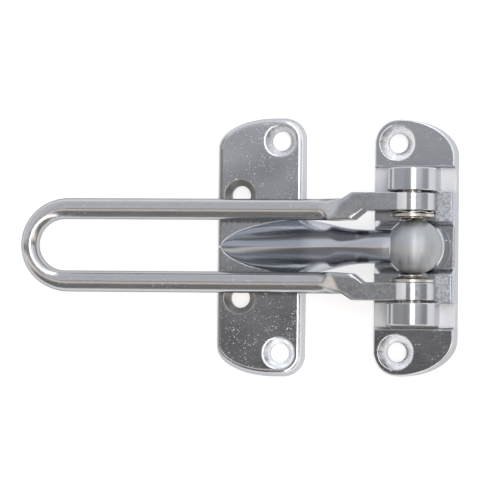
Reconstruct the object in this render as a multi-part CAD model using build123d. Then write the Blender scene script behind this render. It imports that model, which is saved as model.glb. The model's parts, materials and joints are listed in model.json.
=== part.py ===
from build123d import *
import os
from math import cos, pi, radians, sqrt, tan

# Swing bar door guard, shown in its closed place.
# The frame plate carries a U-shaped bar on two short pins. The door plate carries an
# arm with a ball, and the ball stands between the two eyes of the bar.
# X runs along the bar, from its loop (minus) to the frame plate (plus). Y runs along
# the plates, and Z points away from the door. X = 0 and Z = 0 is the foot of the
# pivot axis on the back face of the frame plate, and Y = 0 is the line of symmetry.
# All sizes are in millimetres.

# Pivot and the bar's stack of pieces along it
pivot_height = 12.0
pin_radius = 2.6
pin_head_radius = 3.15
running_clearance = 0.05
eye_inner = 10.1
eye_thickness = 5.0
eye_radius = 6.7
eye_edge_chamfer = 0.25
eye_neck_fillet = 1.0
lug_gap = 0.6
lug_thickness = 6.4
lug_radius = 6.9
lug_edge_chamfer = 0.3
seat_clearance = 0.2
trough_clearance = 0.3

# Bar
strap_half_height = 5.6
strap_end = 13.3
strap_corner = 0.4
rod_diameter = 6.0
rod_spacing = 20.6
rod_end = 26.0
shoulder_start = 20.75
shoulder_skew = 27.0
shoulder_end = 16.4
shoulder_inner = 7.6
bar_reach = 112.0
loop_depth = 13.3
loop_tip_width = 5.2

# Length of both plates
plate_length = 73.6
frame_shortening = 0.6

# Frame plate
frame_corner = 6.9
frame_sweep = 10.6
frame_end_flat = 0.5
frame_left_width = 11.9
frame_right_width = 11.9
frame_left_draft = 5.0
frame_right_draft = 10.5
frame_end_draft = 4.0
floor_height = 2.5
pad_height = 4.5
pad_bevel = 0.7
pad_gap = 0.5
middle_height = 4.0
middle_half_width = 5.6
seat_inner = 7.5
cast_edge_chamfer = 0.3
frame_hole_x = -5.2
frame_hole_spacing = 59.2
frame_countersink = 10.1

# Door plate
door_corner = 6.3
door_sweep = 8.5
door_end_flat = 2.9
door_right = -31.65
door_width = 25.6
door_thickness = 4.0
door_rim_inset = 1.1
door_rim_round = 1.0
outer_hole_x = -38.7
outer_hole_spacing = 60.4
inner_hole_x = -50.2
inner_hole_spacing = 29.2
door_countersink = 9.0

# Screw holes of both plates
screw_hole = 5.6
countersink_angle = 90.0

# Arm and ball
ball_diameter = 15.5
ball_x = 0.9
parting_ridge_width = 0.55
parting_ridge_height = 0.7
parting_ridge_back = 58.0
parting_ridge_front = 42.0
neck_radius = 4.75
neck_start = -8.0
neck_fall = 3.5
crest_half_width = 1.3
leaf_tip_x = -55.7
leaf_wide_x = -31.0
leaf_half_width = 7.7
leaf_rise = 9.0
leaf_fullness = 0.6
root_depth = 2.4

# Washers
washer_radius = 6.15
washer_thickness = 0.75
washer_clearance = 0.08
wave_height = 0.8
wave_thickness = 0.3
wave_inner_radius = 4.0
wave_count = 6
folds_per_wave = 4
dish_height = 0.9
head_proud = 0.3

# Worked out from the sizes above
door_length = plate_length
frame_length = plate_length - frame_shortening
frame_width = frame_left_width + frame_right_width
frame_sweep_length = frame_width - frame_corner - frame_end_flat
door_sweep_length = door_width - door_corner - door_end_flat
eye_outer = eye_inner + eye_thickness
lug_inner = eye_outer + lug_gap
lug_outer = lug_inner + lug_thickness
pad_inner = lug_outer + pad_gap
seat_height = pivot_height - strap_half_height - seat_clearance
trough_radius = eye_radius + trough_clearance
rod_radius = rod_diameter / 2
rod_y = rod_spacing / 2
ball_radius = ball_diameter / 2
pivot = Vector(0, 0, pivot_height)
ball_centre = Vector(ball_x, 0, pivot_height)
sides = (1, -1)

# Share of a radius at which a curve's pull points stand to draw a round quarter
round_pull = 4 / 3 * (sqrt(2) - 1)


def smooth_step(value):
    """Eases from 0 to 1 with level ends."""
    held = min(max(value, 0.0), 1.0)
    return (1 - cos(pi * held)) / 2


def led_rise(share, rise, start_slope):
    """Rises from 0 with a given slope at its start and a level end."""
    eased = share ** 2 * (3 - 2 * share)
    led = share * (1 - share) ** 2
    return rise * eased + start_slope * led


def plate_outline(round_x, swept_x, end_y, radius, sweep_x, sweep_y, z):
    """A plate's outline: two round corners on one side and two swept ones on the other."""
    turn = 1 if swept_x > round_x else -1
    round_start = 90 if turn > 0 else 0
    sweep_start = 0 if turn > 0 else 90
    edges = []
    for side in sides:
        round_centre = (round_x + turn * radius, side * (end_y - radius))
        swept_centre = (swept_x - turn * sweep_x, side * (end_y - sweep_y))
        round_angle = round_start if side > 0 else 270 - round_start
        sweep_angle = sweep_start if side > 0 else 270 - sweep_start
        edges.append(CenterArc(round_centre, radius, round_angle, 90))
        edges.append(EllipticalCenterArc(swept_centre, sweep_x, sweep_y, sweep_angle, arc_size=90))
        edges.append(Line((round_centre[0], side * end_y), (swept_centre[0], side * end_y)))
    edges.append(Line((round_x, end_y - radius), (round_x, radius - end_y)))
    edges.append(Line((swept_x, end_y - sweep_y), (swept_x, sweep_y - end_y)))
    return Pos(0, 0, z) * make_face(edges)


def screw_holes(x, spacing, plate_top, countersink):
    """A pair of countersunk screw holes through a plate."""
    sink_depth = (countersink - screw_hole) / 2 / tan(radians(countersink_angle / 2))
    through = Cylinder(screw_hole / 2, plate_top * 3)
    sink = Pos(0, 0, plate_top - sink_depth / 2) * Cone(screw_hole / 2, countersink / 2, sink_depth)
    hole = through + sink
    return [Pos(x, side * spacing / 2, 0) * hole for side in sides]


def along_pivot(start, end, radius, side):
    """A cylinder on the pivot axis between two distances from the middle."""
    middle = side * (start + end) / 2
    return Pos(0, middle, pivot_height) * Rot(90, 0, 0) * Cylinder(radius, end - start)


def frame_heights():
    """The cast plate's steps, seen along the bar: middle, seats, floor and end pads."""
    half = [
        (0, middle_height),
        (middle_half_width, middle_height),
        (seat_inner, seat_height),
        (lug_inner, seat_height),
        (lug_inner, floor_height),
        (pad_inner, floor_height),
        (pad_inner, pad_height - pad_bevel),
        (pad_inner + pad_bevel, pad_height),
        (frame_length / 2 + 1, pad_height),
        (frame_length / 2 + 1, -1),
    ]
    mirrored = [(-y, z) for y, z in reversed(half[1:])]
    face = Plane.YZ * make_face(Polyline(*mirrored, *half, close=True))
    return extrude(face, amount=frame_width, both=True)


def is_outer_rim(edge):
    """True for a top edge on the plate's outer sides, and not for one that runs across it."""
    return abs(edge.tangent_at(0.5).X) < 0.999


def frame_plate():
    """The drafted casting with its seats, knuckle lugs and two screw holes."""
    top = seat_height + 1
    half_length = frame_length / 2
    bottom_face = plate_outline(-frame_left_width, frame_right_width, half_length,
                                frame_corner, frame_sweep_length, frame_sweep, 0)
    left_inset = top * tan(radians(frame_left_draft))
    right_inset = top * tan(radians(frame_right_draft))
    end_inset = top * tan(radians(frame_end_draft))
    top_face = plate_outline(left_inset - frame_left_width, frame_right_width - right_inset,
                             half_length - end_inset, frame_corner - end_inset,
                             frame_sweep_length - right_inset, frame_sweep, top)
    body = loft([bottom_face, top_face], ruled=True) & frame_heights()
    for height in (pad_height, seat_height, middle_height):
        level = body.faces().filter_by(Plane.XY).filter_by(lambda face: abs(face.center().Z - height) < 0.01)
        rims = [edge for face in level for edge in face.edges() if is_outer_rim(edge)]
        body = chamfer(rims, cast_edge_chamfer)
    body -= along_pivot(-lug_inner, lug_inner, trough_radius, 1)
    for side in sides:
        foot_y = side * (lug_inner + lug_outer) / 2
        lug_foot = Pos(0, foot_y, pivot_height / 2) * Box(2 * lug_radius, lug_thickness, pivot_height)
        pad_link_y = side * (lug_inner + pad_inner) / 2
        pad_link_height = pad_height - pad_bevel
        pad_link = Pos(0, pad_link_y, pad_link_height / 2) * Box(
            2 * lug_radius, pad_inner - lug_inner, pad_link_height)
        barrel = along_pivot(lug_inner, lug_outer, lug_radius, side)
        barrel = chamfer(barrel.edges().filter_by(GeomType.CIRCLE), lug_edge_chamfer)
        body += barrel + lug_foot + pad_link
    for side in sides:
        body -= along_pivot(lug_inner - 1, lug_outer + 1, pin_radius, side)
    for hole in screw_holes(frame_hole_x, frame_hole_spacing, pad_height, frame_countersink):
        body -= hole
    return body


def arm_section(x, half_width, middle_z, top_z, bottom_z):
    """One section of the arm: steep flanks that meet in a narrow crest, over a flatter belly."""
    crest = min(crest_half_width, half_width * round_pull)
    shoulder_z = middle_z + (top_z - middle_z) * round_pull
    flanks = []
    for side in sides:
        foot = (side * half_width, middle_z)
        shoulder = (side * half_width, shoulder_z)
        flanks.append(Bezier(foot, shoulder, (side * crest, top_z), (0, top_z)))
    belly = EllipticalCenterArc((0, middle_z), half_width, middle_z - bottom_z, 180, arc_size=180)
    return Pos(x, 0, 0) * (Plane.YZ * make_face([*flanks, belly]))


def arm_half_width(x):
    """Half the arm's width: a pointed leaf as far as its widest place, then narrowing to the neck."""
    if x < leaf_wide_x:
        share = (x - leaf_tip_x) / (leaf_wide_x - leaf_tip_x)
        return leaf_half_width * (1 - (1 - share) ** 2) ** leaf_fullness
    gone = min(1, (x - leaf_wide_x) / (neck_start - leaf_wide_x))
    left = (1 - gone) ** neck_fall * (1 + neck_fall * gone)
    return neck_radius + (leaf_half_width - neck_radius) * left


def arm():
    """The arm that rises out of the door plate as a leaf and narrows to the neck inside the ball."""
    leaf_length = leaf_wide_x - leaf_tip_x
    neck_length = neck_start - leaf_wide_x
    sections = []
    for share in (0.015, 0.1, 0.3, 0.6, 1.0):
        x = leaf_tip_x + share * leaf_length
        top_z = door_thickness + share * leaf_rise
        depth = min(root_depth, arm_half_width(x))
        sections.append(arm_section(x, arm_half_width(x), door_thickness, top_z, door_thickness - depth))
    neck_top = pivot_height + neck_radius
    neck_bottom = pivot_height - neck_radius
    neck_rise = neck_top - door_thickness - leaf_rise
    leaf_slope = leaf_rise * neck_length / leaf_length
    underside_rise = neck_bottom - door_thickness + root_depth
    for share in (0.25, 0.5, 0.75, 1.0):
        x = leaf_wide_x + share * neck_length
        lifting = smooth_step(share)
        top_z = door_thickness + leaf_rise + led_rise(share, neck_rise, leaf_slope)
        middle_z = door_thickness + (pivot_height - door_thickness) * lifting
        bottom_z = door_thickness - root_depth + underside_rise * lifting
        sections.append(arm_section(x, arm_half_width(x), middle_z, top_z, bottom_z))
    sections.append(arm_section(ball_x - neck_radius / 2, neck_radius, pivot_height, neck_top, neck_bottom))
    return loft(sections)


def parting_ridge(half_angle, side):
    """The trimmed ridge that the mould's joint leaves round one end of the ball."""
    radius = ball_radius + parting_ridge_width
    nearest = radius * cos(radians(half_angle))
    disc = Pos(*ball_centre) * Cylinder(radius, parting_ridge_height)
    kept_middle = ball_x + side * (nearest + radius) / 2
    kept = Pos(kept_middle, 0, pivot_height) * Box(radius - nearest, 2 * radius, parting_ridge_height)
    return disc & kept


def ball():
    """The arm's ball, with what is left of the mould's joint in front and behind."""
    front = parting_ridge(parting_ridge_front, 1)
    back = parting_ridge(parting_ridge_back, -1)
    return Pos(*ball_centre) * Sphere(ball_radius) + front + back


def door_plate():
    """The bevelled plate with four screw holes, cast in one with its arm and ball."""
    swept_x = door_right - door_width
    half_length = door_length / 2
    bottom_face = plate_outline(door_right, swept_x, half_length,
                                door_corner, door_sweep_length, door_sweep, 0)
    inset = door_rim_inset
    top_face = plate_outline(door_right - inset, swept_x + inset, half_length - inset,
                             door_corner - inset, door_sweep_length - inset, door_sweep - inset / 2,
                             door_thickness)
    body = loft([bottom_face, top_face], ruled=True)
    body = fillet(body.faces().sort_by(Axis.Z)[-1].edges(), door_rim_round)
    body += arm() + ball()
    for hole in screw_holes(outer_hole_x, outer_hole_spacing, door_thickness, door_countersink):
        body -= hole
    for hole in screw_holes(inner_hole_x, inner_hole_spacing, door_thickness, door_countersink):
        body -= hole
    return body


def bar_section(x, inner_y, outer_y, half_height, corner, skew, side):
    """A rounded upright section across one leg of the bar."""
    width = outer_y - inner_y
    middle = side * (inner_y + outer_y) / 2
    turned = radians(side * skew)
    across = Vector(0, 1, 0).rotate(Axis.Z, -side * skew)
    plane = Plane(origin=(x, middle, pivot_height), x_dir=across, z_dir=across.cross(Vector(0, 0, 1)))
    return plane * RectangleRounded(width / cos(turned), 2 * half_height, corner)


def shoulder_section(share, side):
    """A section between the end of the round rod and the start of the shoulder's slant."""
    x = -rod_end + share * (rod_end - shoulder_start)
    eased = smooth_step(share)
    half_height = rod_radius + (strap_half_height - rod_radius) * eased
    rod_corner = rod_radius * 0.99
    corner = rod_corner + (strap_corner - rod_corner) * eased
    return bar_section(x, rod_y - rod_radius, rod_y + rod_radius, half_height, corner,
                       shoulder_skew * eased, side)


def bar_leg(side):
    """One leg: eye, flat strap, shoulder and round rod as far as the loop."""
    eye = Pos(0, 0) * Circle(eye_radius)
    strap_middle = -strap_end / 2
    strap = Pos(strap_middle, 0) * Rectangle(strap_end, 2 * strap_half_height)
    joined = eye + strap
    notch_x = -sqrt(eye_radius ** 2 - strap_half_height ** 2)
    notches = joined.vertices().filter_by(lambda corner: abs(corner.X - notch_x) < 0.01)
    side_view = fillet(notches, eye_neck_fillet)
    inner_face_y = side * eye_inner
    standing = Plane(origin=(0, inner_face_y, pivot_height), x_dir=(1, 0, 0), z_dir=(0, side, 0))
    up = 1 if side < 0 else -1
    upright = side_view if up > 0 else mirror(side_view, about=Plane.XZ)
    flat = extrude(standing * upright, amount=eye_thickness)
    rims = flat.edges().filter_by(lambda edge: abs(edge.tangent_at(0.5).Y) < 0.5)
    rims = rims.filter_by(lambda edge: edge.center().X > 0.02 - strap_end)
    flat = chamfer(rims, eye_edge_chamfer)
    sections = [shoulder_section(share, side) for share in (0, 0.25, 0.5, 0.75, 1)]
    sections += [
        bar_section(-shoulder_end, shoulder_inner, eye_outer, strap_half_height, strap_corner, 0, side),
        bar_section(-strap_end, eye_inner, eye_outer, strap_half_height, strap_corner, 0, side),
    ]
    shoulder = loft(sections, ruled=True)
    loop_start = loop_depth - bar_reach
    rod_length = -rod_end - loop_start
    rod_middle = (-rod_end + loop_start) / 2
    rod = Pos(rod_middle, side * rod_y, pivot_height) * Rot(0, 90, 0) * Cylinder(rod_radius, rod_length)
    return flat + shoulder + rod


def bar_loop():
    """The closed end of the U, a little thinner at its tip than along the rods."""
    centre = Vector(loop_depth - bar_reach, 0, pivot_height)
    reach = loop_depth - loop_tip_width / 2
    path = Pos(*centre) * EllipticalCenterArc((0, 0), reach, rod_y, 90, arc_size=180)
    sections = []
    for share in (0, 0.5, 1):
        place = path ^ share
        tip = 1 - abs(2 * share - 1)
        across = rod_radius + (loop_tip_width / 2 - rod_radius) * tip
        plane = Plane(origin=place.position, x_dir=(0, 0, 1), z_dir=path % share)
        sections.append(plane * Ellipse(rod_radius, across))
    return sweep(sections, path=path, multisection=True)


def swing_bar():
    """The U-shaped bar with its two bored eyes."""
    body = bar_loop()
    for side in sides:
        body += bar_leg(side)
    for side in sides:
        body -= along_pivot(eye_inner - 1, eye_outer + 1, pin_radius + running_clearance, side)
    return body


def turned_about_pivot(profile, side):
    """Turns a closed profile of (distance from middle, radius) points about the pivot."""
    outline = [(radius, side * distance) for distance, radius in profile]
    face = Pos(0, 0, pivot_height) * make_face(Polyline(*outline, close=True))
    return revolve(face, axis=Axis(pivot, (0, 1, 0)))


def pivot_pin(side, head_inner):
    """A shouldered pin: a low head beside the ball and a shank that ends in the lug."""
    head_outer = head_inner + head_proud
    head = along_pivot(head_inner, head_outer, pin_head_radius, side)
    return head + along_pivot(head_outer, lug_outer, pin_radius, side)


def flat_washer(side, inner):
    """A plain flat washer."""
    outer = inner + washer_thickness
    bore = pin_radius + washer_clearance
    return turned_about_pivot([(inner, bore), (inner, washer_radius), (outer, washer_radius),
                               (outer, bore)], side)


def dished_washer(side, hub, rim):
    """A conical spring washer: its rim bears on the eye and its hub on the pin's head."""
    bore = pin_radius + washer_clearance
    return turned_about_pivot([(hub, bore), (hub, pin_head_radius), (rim, washer_radius),
                               (rim + washer_thickness, washer_radius),
                               (hub + washer_thickness, pin_head_radius),
                               (hub + washer_thickness, bore)], side)


def wave_spot(radius, angle, middle, lift):
    """A point on the spring washer at an angle round the pivot."""
    spot = Vector(radius, middle + lift * cos(radians(wave_count * angle)), 0)
    return spot.rotate(Axis.Y, angle) + pivot


def wave_washer(side, inner, outer):
    """A crinkled spring washer: narrow folds all round between its two neighbours."""
    lift = (outer - inner - wave_thickness) / 2
    middle = side * (inner + outer) / 2
    fold = 360 / (wave_count * folds_per_wave)
    faces = []
    for number in range(wave_count * folds_per_wave):
        lines = {}
        for radius in (wave_inner_radius, washer_radius):
            for level in sides:
                height = middle + level * wave_thickness / 2
                ends = [wave_spot(radius, fold * (number + step), height, lift) for step in (0, 1)]
                lines[radius, level] = Edge.make_line(*ends)
        for level in sides:
            faces.append(Face.make_surface_from_curves(lines[wave_inner_radius, level],
                                                       lines[washer_radius, level]))
        for radius in (wave_inner_radius, washer_radius):
            faces.append(Face.make_surface_from_curves(lines[radius, 1], lines[radius, -1]))
    return Solid(Shell(faces))


# Stack at the upper end: pin head, flat washer, wave washer, eye
upper_wave_outer = eye_inner - washer_clearance
upper_wave_inner = upper_wave_outer - wave_height
upper_flat_inner = upper_wave_inner - washer_clearance - washer_thickness
upper_head_inner = upper_flat_inner - washer_clearance - head_proud

# Stack at the lower end: pin head, dished washer, eye
lower_rim = eye_inner - washer_clearance - washer_thickness
lower_hub = lower_rim - dish_height
lower_head_inner = lower_hub - washer_clearance - head_proud

parts = {
    "frame_plate": frame_plate(),
    "door_plate": door_plate(),
    "swing_bar": swing_bar(),
    "upper_pivot_pin": pivot_pin(1, upper_head_inner),
    "lower_pivot_pin": pivot_pin(-1, lower_head_inner),
    "upper_flat_washer": flat_washer(1, upper_flat_inner),
    "upper_wave_washer": wave_washer(1, upper_wave_inner, upper_wave_outer),
    "lower_dished_washer": dished_washer(-1, lower_hub, lower_rim),
}

os.makedirs("parts", exist_ok=True)
for name, shape in parts.items():
    export_step(shape, f"parts/{name}.step")
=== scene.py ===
import json
import math
from typing import Callable, NamedTuple

import bpy
from mathutils import Euler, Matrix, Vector

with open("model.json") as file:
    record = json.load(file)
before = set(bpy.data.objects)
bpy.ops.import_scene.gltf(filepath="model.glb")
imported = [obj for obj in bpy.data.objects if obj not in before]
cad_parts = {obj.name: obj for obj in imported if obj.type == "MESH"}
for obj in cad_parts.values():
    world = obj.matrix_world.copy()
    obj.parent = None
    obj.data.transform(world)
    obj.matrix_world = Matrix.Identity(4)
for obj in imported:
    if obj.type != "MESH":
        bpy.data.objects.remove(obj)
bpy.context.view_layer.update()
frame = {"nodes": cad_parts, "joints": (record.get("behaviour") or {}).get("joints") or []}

MM = 0.001


def in_mm(*lengths):
    """Lengths in millimetres, turned into the scene's metres."""
    return tuple(length * MM for length in lengths)


def down_from(top, depth, softness):
    """The upward band that starts at a top and reaches down by a depth, given in millimetres."""
    return in_mm(top - depth / 2, depth / 2, softness)


# Camera: almost straight above, leaning towards the frame plate and a little to the viewer's side.
# Its lens and its sensor are in millimetres, and its reach is in metres.
CAMERA_DISTANCE = 1000 * MM
CAMERA_LEAN_X = math.radians(9.5)
CAMERA_LEAN_Y = math.radians(1.7)
CAMERA_TURN = math.radians(0.35)
CAMERA_TARGET = Vector(in_mm(-47.9, -0.83, 0))
NEAREST_SEEN = 0.01
FURTHEST_SEEN = 50
SENSOR_WIDTH = 36
PIXELS_PER_MM = 3.5
IMAGE_SIZE = 500

# Floor, which glows to the camera and in reflections, and the lamp that draws a faint shadow on it
FLOOR_SIZE = 12.0
FLOOR_DROP = 0.1 * MM
FLOOR_GLOW = 0.68
FLOOR_COLOUR = (0.42, 0.42, 0.42, 1)
WHITE = (1, 1, 1, 1)
FLOOR_ROUGHNESS = 0.9
LAMP_PLACE = (0.1, 0.3, 1.4)
LAMP_SIZE = 1.6
LAMP_POWER = 1.5

# Grey of the room by direction along Y, from the viewer's side to the far side: (direction, brightness).
# It is brightest a little to the viewer's side of overhead, and dark overhead and low on the viewer's side.
OVERHEAD_STEPS = [
    (-1.0, 0.24), (-0.96, 0.20), (-0.86, 0.18), (-0.60, 0.18), (-0.48, 0.20), (-0.38, 0.62), (-0.28, 0.84),
    (-0.14, 0.94), (-0.09, 0.30), (-0.05, 0.06), (-0.01, 0.07), (0.012, 0.19), (0.03, 0.31), (0.05, 0.50),
    (0.07, 0.60), (0.10, 0.70), (0.45, 0.62), (0.85, 0.60), (1.0, 0.62),
]
# The same light by lean from overhead towards +X: (degrees, factor)
LEAN_STEPS = [
    (-110, 1.3), (-60, 1.25), (-32, 1.3), (-25, 0.9), (-14, 1.1), (-11, 1.12), (-8, 0.82), (-5, 0.80),
    (2, 1.1), (30, 1.6), (42, 2.2), (52, 1.4), (64, 1.05), (110, 1.05),
]

# Everywhere below, a band is its middle, its half width and the softness of its edges.
# A long soft light that runs along Y: its lean in degrees, its reach by direction along Y, its brightness
STRIP_ACROSS = (13, 8, 1.6)
STRIP_ALONG = (0, 1.0, 0.15)
STRIP_LIGHT = 3.4
# Tints of the room by direction along Y, warm from overhead to the viewer's side and cool elsewhere
WARM_SIDE = (-0.35, 0.35, 0.1)
WARM_SHADE = (1.06, 0.98, 0.92, 1)
COOL_SHADE = (0.97, 1.0, 1.05, 1)
# A thin warm light low on the viewer's side, by direction along Y and along X
WARM_LINE_ACROSS = (-0.76, 0.02, 0.02)
WARM_LINE_ALONG = (-0.12, 0.06, 0.03)
WARM_LINE_LIGHT = (0.62, 0.40, 0.17, 1)
# The pale horizon, by the upward direction at its top and its reach by direction along Y
HORIZON_TOP = 0.16
HORIZON_REACH = (1, 1.7, 0.2)
HORIZON_COLOUR = (0.56, 0.58, 0.62, 1)

# Colours of the metals, some of them painted highlights and painted shade, and the share of a colour that is
# left where it is a little darker
CHROME_COLOUR = (0.60, 0.61, 0.635, 1)
CHROME_EDGE = (0.66, 0.67, 0.69, 1)
BAR_COLOUR = (0.57, 0.572, 0.58, 1)
BAR_EDGE = (0.26, 0.26, 0.265, 1)
# The arm's leaf: a darker, bluer copy of the chrome, painted as shade and darker reflection
LEAF_PAINTED_SHADE_COLOUR = (0.41, 0.44, 0.485, 1)
NECK_COLOUR = (0.62, 0.64, 0.68, 1)
BALL_COLOUR = (0.50, 0.515, 0.53, 1)
BLOCK_COLOUR = (0.62, 0.65, 0.69, 1)
LUG_COLOUR = (0.62, 0.635, 0.665, 1)
# Painted shade for the door plate's left rim
PAINTED_SHADE_COLOUR = (0.35, 0.355, 0.36, 1)
SATIN_COLOUR = (0.70, 0.71, 0.73, 1)
PITTED_COLOUR = (0.66, 0.67, 0.69, 1)
# Countersink colours with painted light, and with a darker, browner painted shadow
SINK_PAINTED_LIGHT_COLOUR = (0.84, 0.86, 0.89, 1)
SINK_PAINTED_SHADOW_COLOUR = (0.42, 0.405, 0.385, 1)
# Pale colour painted as highlights on the pads' rim, the door's right rim, the leaf's root line and the eyes'
# roots
PAINTED_HIGHLIGHT_COLOUR = (0.90, 0.91, 0.93, 1)
SPECK_COLOUR = (0.88, 0.92, 0.95, 1)
NICKEL_COLOUR = (0.66, 0.62, 0.56, 1)
DARKER_SHARE = 0.9

# How fine a finish is: about how many grains fit in a metre along X, Y and Z
MOTTLED = (700, 700, 700)
SPECKLED = (1500, 1500, 1500)
TURNED = (1500, 70, 70)
SMUDGED = (90, 90, 90)
WAVY = (60, 60, 60)
SPECK_FINENESS = 3400
SPECKS_TO_AN_AREA = 14

# How much each kind of unevenness changes the paint, the roughness and the height of the surface
SMUDGE_PAINT = 0.35
SMUDGE_ROUGHENING = 0.3
SCRATCH_ROUGHENING = 1.5
SCRATCH_HEIGHT = 0.06
PIT_ROUGHENING = 1.8
SPECK_ROUGHNESS = 0.5
SPECK_GATHERING = 0.22
SPECK_SOFTNESS = 0.02
RELIEF_DEPTH = 0.02 * MM
RELIEF_STRENGTH = 0.12
WAVE_DEPTH = 0.1 * MM

# How far the polish has rounded the edges, and how many samples smooth them
EDGE_WEAR = 0.25 * MM
DOOR_RIM_WEAR = 0.8 * MM
SHOULDER_WEAR = 1.8 * MM
EYE_ROOT_WEAR = 0.8 * MM
WEAR_SAMPLES = 8

# Frame plate: bands along X, along Y on both sides of the middle, and upwards
LUG_SIDES = in_mm(19.2, 3.6, 0.1)
LUG_ROUND_HEIGHT = 10 * MM
LOW_FLOORS = in_mm(0, 3.1, 0.2)
BLOCK_LENGTH = in_mm(16, 10, 0.4)
BLOCK_SIDES = in_mm(11.3, 4.2, 0.3)
# The band just below the pads' top, where a highlight is painted
PAD_RIM_HIGHLIGHT = down_from(4.47, depth=0.32, softness=0.02)

# Door plate: the same kinds of band, on its rims, where a painted highlight and painted shade go, on its arm
# and on the ragged line of painted highlight round the leaf's tip.
# The leaf is as long as from its tip to its widest place, and the line's reach is a share of that.
RIM_HEIGHT = down_from(3.97, depth=1.0, softness=0.02)
RIM_ZONE_HEIGHT = down_from(4.07, depth=1.2, softness=0.02)
# The right rim gets a painted highlight and the left rim painted shade
RIGHT_RIM = in_mm(0, 38, 4)
RIGHT_RIM_ZONE = in_mm(-31, 15, 3)
LEFT_RIM_SHADE = in_mm(-57.5, 3, 1)
ARM_SIDES = in_mm(0, 7.9, 0.1)
ARM_FOOT_HEIGHT = 4.1 * MM
NECK_LENGTH = in_mm(0, 30, 3)
LEAF_TIP_X = -55.7 * MM
LEAF_LENGTH = 24.7 * MM
LEAF_HALF_WIDTH = 7.7 * MM
LEAF_FULLNESS = 0.6
ROOT_LINE_WIDTH = in_mm(0.05, 0.2, 0.1)
ROOT_LINE_REACH = (0.0, 0.55, 0.1)

# Countersinks: place along X, place along Y and radius
FRAME_SINKS = in_mm(-5.2, 29.6, 5.25)
DOOR_OUTER_SINKS = in_mm(-38.7, 30.2, 4.6)
# The low outer countersink on the door is painted lighter as if lit, and the inner ones darker as painted
# shadow
DOOR_LOW_SINK = in_mm(-38.7, -30.2, 4.6)
DOOR_INNER_SINKS = in_mm(-50.2, 14.6, 4.6)
SINK_SOFTNESS = 0.1 * MM

# Ball and swing bar
PIVOT_HEIGHT = frame["joints"][0]["pos_m"][2]
BALL_CENTRE = (0.9 * MM, 0, PIVOT_HEIGHT)
BALL_REACH = 8.0 * MM
BALL_SOFTNESS = 0.15 * MM
STRAPS = in_mm(0, 20, 1)
SHOULDERS = in_mm(-22, 6, 2)
# Each eye's root gets a painted highlight and rounder edges
EYE_ROOTS = in_mm(-2.1, 1.35, 0.3)


class Place(NamedTuple):
    """Where a point of the surface is in the frame of the solids, whole and along each axis."""
    whole: bpy.types.NodeSocket
    x: bpy.types.NodeSocket
    y: bpy.types.NodeSocket
    z: bpy.types.NodeSocket


class Patch(NamedTuple):
    """A part of a surface with a finish of its own or with a painted highlight or painted shade, and how deep
    and how fine its pits are.
    """
    where: Callable
    colour: tuple
    roughness: float
    pitting: float = 0.0
    fineness: tuple = MOTTLED


def set_inputs(tree, node, values):
    """Sets a node's inputs to values, or links them to sockets, by name or by number."""
    for key, value in values.items():
        if isinstance(value, bpy.types.NodeSocket):
            tree.links.new(value, node.inputs[key])
        else:
            node.inputs[key].default_value = value


def add_node(tree, kind, inputs, **settings):
    """Adds a node with its settings and its inputs."""
    node = tree.nodes.new(kind)
    for name, value in settings.items():
        setattr(node, name, value)
    set_inputs(tree, node, inputs)
    return node


def math_node(tree, operation, first, second=0.0, clamped=False):
    """The result of one sum on sockets or numbers."""
    inputs = {0: first, 1: second}
    return add_node(tree, "ShaderNodeMath", inputs, operation=operation, use_clamp=clamped).outputs[0]


def product(tree, first, *others):
    """Sockets or numbers, all multiplied together."""
    for other in others:
        first = math_node(tree, "MULTIPLY", first, other)
    return first


def map_range(tree, value, low, high, first=0.0, second=1.0, smooth=False):
    """One number up to low and another from high on, with a straight or smooth way between them."""
    inputs = {"Value": value, "From Min": low, "From Max": high, "To Min": first, "To Max": second}
    way = "SMOOTHSTEP" if smooth else "LINEAR"
    return add_node(tree, "ShaderNodeMapRange", inputs, interpolation_type=way).outputs["Result"]


def soft_band(tree, value, middle, half_width, softness):
    """One inside the band and zero outside it, with soft edges."""
    distance = math_node(tree, "ABSOLUTE", math_node(tree, "SUBTRACT", value, middle))
    return map_range(tree, distance, half_width + softness, half_width - softness, smooth=True)


def blend(tree, share, first, second):
    """A value between two others by a share."""
    return map_range(tree, share, 0.0, 1.0, first, second)


def mix_colours(tree, share, first, second):
    """A mix of two colours. On this node the colours are inputs 6 and 7, and their mix is output 2."""
    inputs = {0: share, 6: first, 7: second}
    return add_node(tree, "ShaderNodeMix", inputs, data_type="RGBA").outputs[2]


def darker(colour):
    """The same colour, a little darker."""
    return tuple(DARKER_SHARE * part for part in colour[:3]) + (1,)


def curve_through(tree, value, steps):
    """A smooth brightness that follows (value, brightness) steps."""
    low = steps[0][0]
    high = steps[-1][0]
    ramp = add_node(tree, "ShaderNodeValToRGB", {"Fac": map_range(tree, value, low, high)})
    ramp.color_ramp.interpolation = "B_SPLINE"
    stops = ramp.color_ramp.elements
    while len(stops) < len(steps):
        stops.new(0.5)
    brightest = max(brightness for _, brightness in steps)
    for stop, (at, brightness) in zip(stops, steps):
        stop.position = (at - low) / (high - low)
        share = brightness / brightest
        stop.color = (share, share, share, 1)
    return product(tree, ramp.outputs["Color"], brightest)


def grain(tree, place, fineness, detail, low, high):
    """Noise from zero to one between two of its own levels, finer along some directions than others."""
    stretched = add_node(tree, "ShaderNodeVectorMath", {0: place.whole, 1: fineness}, operation="MULTIPLY")
    inputs = {"Vector": stretched.outputs[0], "Scale": 1.0, "Detail": detail}
    noise = add_node(tree, "ShaderNodeTexNoise", inputs)
    return map_range(tree, noise.outputs["Fac"], low, high)


def plain_noise(tree, place, fineness):
    """Noise that is equally fine along all directions."""
    inputs = {"Vector": place.whole, "Scale": fineness, "Detail": 1.0}
    return add_node(tree, "ShaderNodeTexNoise", inputs).outputs["Fac"]


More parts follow.
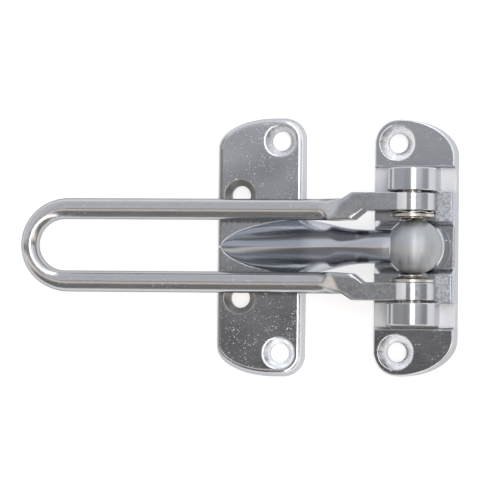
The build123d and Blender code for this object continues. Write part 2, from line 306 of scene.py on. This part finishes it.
def specks(tree, place, start):
    """Small uneven specks where the noise is above a start, thick in some areas and rare in others."""
    fine = plain_noise(tree, place, SPECK_FINENESS)
    areas = plain_noise(tree, place, SPECK_FINENESS / SPECKS_TO_AN_AREA)
    lifted = math_node(tree, "ADD", fine, product(tree, areas, SPECK_GATHERING))
    return map_range(tree, lifted, start - SPECK_SOFTNESS, start + SPECK_SOFTNESS, smooth=True)


def within(x=None, y=None, z=None, above=None):
    """Finds what is inside the bands along X, along Y on both sides and upwards, and above the height."""
    def find(tree, place):
        both_sides = math_node(tree, "ABSOLUTE", place.y)
        bands = [(place.x, x), (both_sides, y), (place.z, z)]
        shares = [soft_band(tree, value, *band) for value, band in bands if band]
        if above is not None:
            shares.append(math_node(tree, "GREATER_THAN", place.z, above))
        return product(tree, *shares)
    return find


def round_place(middle_x, middle_y, radius, both_sides=True):
    """Finds a round place, or a pair of them on both sides of the middle line."""
    def find(tree, place):
        y = math_node(tree, "ABSOLUTE", place.y) if both_sides else place.y
        across = math_node(tree, "SUBTRACT", place.x, middle_x)
        along = math_node(tree, "SUBTRACT", y, middle_y)
        squares = math_node(tree, "ADD", product(tree, across, across), product(tree, along, along))
        return soft_band(tree, math_node(tree, "SQRT", squares), 0, radius, SINK_SOFTNESS)
    return find


def leaf_root(tree, place):
    """Finds a line round the leaf's tip, where it meets the plate and where a highlight is painted."""
    from_tip = math_node(tree, "SUBTRACT", place.x, LEAF_TIP_X)
    share = math_node(tree, "DIVIDE", from_tip, LEAF_LENGTH, clamped=True)
    left = math_node(tree, "SUBTRACT", 1.0, share)
    full = math_node(tree, "SUBTRACT", 1.0, product(tree, left, left))
    edge = product(tree, math_node(tree, "POWER", full, LEAF_FULLNESS), LEAF_HALF_WIDTH)
    beyond = math_node(tree, "SUBTRACT", math_node(tree, "ABSOLUTE", place.y), edge)
    return product(tree, soft_band(tree, beyond, *ROOT_LINE_WIDTH), soft_band(tree, share, *ROOT_LINE_REACH))


def ball(tree, place):
    """Finds the ball."""
    inputs = {0: place.whole, 1: BALL_CENTRE}
    apart = add_node(tree, "ShaderNodeVectorMath", inputs, operation="DISTANCE").outputs["Value"]
    return soft_band(tree, apart, 0, BALL_REACH, BALL_SOFTNESS)


def new_material(name):
    """A new material, its node tree and its shader."""
    material = bpy.data.materials.new(name)
    material.use_nodes = True
    tree = material.node_tree
    return material, tree, tree.nodes["Principled BSDF"]


def uneven_normal(tree, place, height, rounded):
    """The direction of a surface with worn edges, long waves and a fine relief."""
    wear = EDGE_WEAR
    for where, reach in rounded:
        wear = blend(tree, where(tree, place), wear, reach)
    edges = add_node(tree, "ShaderNodeBevel", {"Radius": wear}, samples=WEAR_SAMPLES)
    waves = add_node(tree, "ShaderNodeBump", {
        "Height": grain(tree, place, WAVY, detail=1.0, low=0.0, high=1.0),
        "Distance": WAVE_DEPTH,
        "Normal": edges.outputs["Normal"],
    })
    relief = add_node(tree, "ShaderNodeBump", {
        "Height": height,
        "Strength": RELIEF_STRENGTH,
        "Distance": RELIEF_DEPTH,
        "Normal": waves.outputs["Normal"],
    })
    return relief.outputs["Normal"]


def metal(name, colour, roughness, fineness, patches=(), speck_start=0.86, rounded=(),
          edge_colour=CHROME_EDGE):
    """Polished plated metal with fine scratches, faint specks and patches of another finish or of painted
    highlight and painted shade.
    """
    material, tree, shader = new_material(name)
    whole = add_node(tree, "ShaderNodeTexCoord", {}).outputs["Object"]
    place = Place(whole, *add_node(tree, "ShaderNodeSeparateXYZ", {"Vector": whole}).outputs)

    scratches = grain(tree, place, fineness, detail=3.0, low=0.42, high=0.72)
    smudges = grain(tree, place, SMUDGED, detail=3.0, low=0.35, high=0.7)
    height = product(tree, scratches, SCRATCH_HEIGHT)
    scratched = blend(tree, scratches, roughness, roughness * SCRATCH_ROUGHENING)
    rough = math_node(tree, "ADD", scratched, product(tree, smudges, roughness * SMUDGE_ROUGHENING))
    paint = mix_colours(tree, product(tree, smudges, SMUDGE_PAINT), colour, darker(colour))

    dots = specks(tree, place, speck_start)
    rough = blend(tree, dots, rough, SPECK_ROUGHNESS)
    paint = mix_colours(tree, dots, paint, SPECK_COLOUR)

    for patch in patches:
        share = patch.where(tree, place)
        mottle = grain(tree, place, patch.fineness, detail=2.0, low=0.3, high=0.7)
        pits = product(tree, mottle, patch.pitting)
        patch_rough = blend(tree, pits, patch.roughness, patch.roughness * PIT_ROUGHENING)
        patch_paint = mix_colours(tree, pits, darker(patch.colour), patch.colour)
        rough = blend(tree, share, rough, patch_rough)
        paint = mix_colours(tree, share, paint, patch_paint)
        height = math_node(tree, "ADD", height, product(tree, share, pits))

    set_inputs(tree, shader, {
        "Metallic": 1,
        "Specular Tint": edge_colour,
        "Roughness": rough,
        "Base Color": paint,
        "Normal": uneven_normal(tree, place, height, rounded),
    })
    return material


def frame_chrome():
    """The frame plate: a painted highlight round the top rim of its pads, and rough on its low floors and
    castings.
    """
    blocks = within(x=BLOCK_LENGTH, y=BLOCK_SIDES)
    patches = [
        Patch(within(z=PAD_RIM_HIGHLIGHT), PAINTED_HIGHLIGHT_COLOUR, roughness=0.3, pitting=0.3),
        Patch(within(y=LUG_SIDES, above=LUG_ROUND_HEIGHT), LUG_COLOUR, roughness=0.2),
        Patch(within(y=LUG_SIDES, z=LOW_FLOORS), SATIN_COLOUR, roughness=0.5, pitting=0.15),
        Patch(blocks, BLOCK_COLOUR, roughness=0.2, pitting=0.7, fineness=SPECKLED),
        Patch(round_place(*FRAME_SINKS), PITTED_COLOUR, roughness=0.18, pitting=0.8),
    ]
    return metal("frame_chrome", CHROME_COLOUR, roughness=0.09, fineness=(350, 5000, 5000), patches=patches)


def door_chrome():
    """The door plate: an arm painted darker as shade, a brushed ball, a painted highlight on the right rim
    and painted shade on the left one, a painted highlight round the leaf's root, and mottled countersinks,
    the low outer one painted lighter as if lit and the inner ones painted in shadow.
    """
    left_rim_shade = within(x=LEFT_RIM_SHADE, z=RIM_HEIGHT)
    right_rim_highlight = within(x=RIGHT_RIM, z=RIM_HEIGHT)
    arm = within(y=ARM_SIDES, above=ARM_FOOT_HEIGHT)
    neck = within(x=NECK_LENGTH, y=ARM_SIDES, above=ARM_FOOT_HEIGHT)
    low_sink = round_place(*DOOR_LOW_SINK, both_sides=False)
    patches = [
        Patch(left_rim_shade, PAINTED_SHADE_COLOUR, roughness=0.25, pitting=0.2),
        Patch(right_rim_highlight, PAINTED_HIGHLIGHT_COLOUR, roughness=0.25, pitting=0.3),
        # The arm's leaf painted darker as shade
        Patch(arm, LEAF_PAINTED_SHADE_COLOUR, roughness=0.18),
        Patch(neck, NECK_COLOUR, roughness=0.22),
        # Painted highlight along the line where the leaf meets the plate
        Patch(leaf_root, PAINTED_HIGHLIGHT_COLOUR, roughness=0.4, pitting=1.0),
        Patch(ball, BALL_COLOUR, roughness=0.41, pitting=0.9, fineness=TURNED),
        Patch(round_place(*DOOR_OUTER_SINKS), PITTED_COLOUR, roughness=0.22, pitting=1.0),
        Patch(low_sink, SINK_PAINTED_LIGHT_COLOUR, roughness=0.22, pitting=1.0),
        Patch(round_place(*DOOR_INNER_SINKS), SINK_PAINTED_SHADOW_COLOUR, roughness=0.28, pitting=1.0),
    ]
    rounded = [(within(x=RIGHT_RIM_ZONE, z=RIM_ZONE_HEIGHT), DOOR_RIM_WEAR)]
    return metal("door_chrome", CHROME_COLOUR, roughness=0.10, fineness=(900, 2500, 2500), patches=patches,
                 speck_start=0.832, rounded=rounded)


def bar_chrome():
    """The swing bar: more polished on its straps and eyes, with a painted highlight at the root of each eye.
    """
    eye_root = within(x=EYE_ROOTS, above=PIVOT_HEIGHT)
    patches = [
        Patch(within(x=STRAPS), CHROME_COLOUR, roughness=0.14, pitting=0.6, fineness=SPECKLED),
        # Painted highlight at the root of each eye
        Patch(eye_root, PAINTED_HIGHLIGHT_COLOUR, roughness=0.55),
    ]
    rounded = [(within(x=SHOULDERS), SHOULDER_WEAR), (eye_root, EYE_ROOT_WEAR)]
    return metal("bar_chrome", BAR_COLOUR, roughness=0.16, fineness=(300, 12000, 12000), patches=patches,
                 speck_start=0.88, rounded=rounded, edge_colour=BAR_EDGE)


def washer_nickel():
    """The pins and washers: a warmer and duller metal."""
    return metal("washer_nickel", NICKEL_COLOUR, roughness=0.22, fineness=(4000, 600, 4000))


def make_camera():
    """Sets the camera at the photograph's angle and scale."""
    data = bpy.data.cameras.new("camera")
    camera = bpy.data.objects.new("camera", data)
    bpy.context.scene.collection.objects.link(camera)
    camera.rotation_mode = "YXZ"
    camera.rotation_euler = Euler((CAMERA_LEAN_Y, CAMERA_LEAN_X, CAMERA_TURN), "YXZ")
    back = camera.rotation_euler.to_matrix() @ Vector((0, 0, 1))
    camera.location = CAMERA_TARGET + back * CAMERA_DISTANCE
    data.sensor_width = SENSOR_WIDTH
    data.lens = SENSOR_WIDTH * PIXELS_PER_MM * CAMERA_DISTANCE / MM / IMAGE_SIZE
    data.clip_start = NEAREST_SEEN
    data.clip_end = FURTHEST_SEEN
    bpy.context.scene.camera = camera


def make_world():
    """A studio room in greys, with one long soft light and a thin warm one."""
    world = bpy.data.worlds.new("studio")
    bpy.context.scene.world = world
    world.use_nodes = True
    tree = world.node_tree
    direction = add_node(tree, "ShaderNodeTexCoord", {}).outputs["Generated"]
    x, y, z = add_node(tree, "ShaderNodeSeparateXYZ", {"Vector": direction}).outputs
    lean = math_node(tree, "DEGREES", math_node(tree, "ARCTAN2", x, z))

    grey = product(tree, curve_through(tree, y, OVERHEAD_STEPS), curve_through(tree, lean, LEAN_STEPS))
    strip = product(tree, soft_band(tree, lean, *STRIP_ACROSS), soft_band(tree, y, *STRIP_ALONG), STRIP_LIGHT)
    light = math_node(tree, "ADD", grey, strip)
    shade = mix_colours(tree, soft_band(tree, y, *WARM_SIDE), COOL_SHADE, WARM_SHADE)
    scaled = add_node(tree, "ShaderNodeVectorMath", {0: shade, "Scale": light}, operation="SCALE")

    warm_line = product(tree, soft_band(tree, y, *WARM_LINE_ACROSS), soft_band(tree, x, *WARM_LINE_ALONG))
    colour = mix_colours(tree, warm_line, scaled.outputs[0], WARM_LINE_LIGHT)
    near_horizon = map_range(tree, z, HORIZON_TOP, 0.0, smooth=True)
    horizon = product(tree, near_horizon, soft_band(tree, y, *HORIZON_REACH))
    colour = mix_colours(tree, horizon, colour, HORIZON_COLOUR)
    set_inputs(tree, tree.nodes["Background"], {"Color": colour})


def make_floor():
    """A wide pale floor that keeps a faint shadow."""
    bpy.ops.mesh.primitive_plane_add(size=FLOOR_SIZE)
    floor = bpy.context.object
    floor.name = "floor"
    floor.location.z = -FLOOR_DROP
    material, tree, shader = new_material("floor_paint")
    rays = add_node(tree, "ShaderNodeLightPath", {}).outputs
    seen = math_node(tree, "ADD", rays["Is Camera Ray"], rays["Is Glossy Ray"])
    seen = math_node(tree, "ADD", seen, rays["Is Transmission Ray"], clamped=True)
    set_inputs(tree, shader, {
        "Base Color": FLOOR_COLOUR,
        "Roughness": FLOOR_ROUGHNESS,
        "Specular IOR Level": 0,
        "Emission Color": WHITE,
        "Emission Strength": product(tree, seen, FLOOR_GLOW),
    })
    floor.data.materials.append(material)


def make_lamp():
    """A softbox above, which is kept out of reflections."""
    data = bpy.data.lights.new("softbox", "AREA")
    data.shape = "SQUARE"
    data.size = LAMP_SIZE
    data.energy = LAMP_POWER
    lamp = bpy.data.objects.new("softbox", data)
    lamp.location = LAMP_PLACE
    lamp.visible_glossy = False
    lamp.visible_camera = False
    bpy.context.scene.collection.objects.link(lamp)


make_camera()
make_world()
make_floor()
make_lamp()
finishes = {
    "frame_plate": frame_chrome(),
    "door_plate": door_chrome(),
    "swing_bar": bar_chrome(),
}
nickel = washer_nickel()
for name, node in frame["nodes"].items():
    node.data.materials.clear()
    node.data.materials.append(finishes.get(name, nickel))

bpy.context.scene.view_settings.view_transform = "Standard"
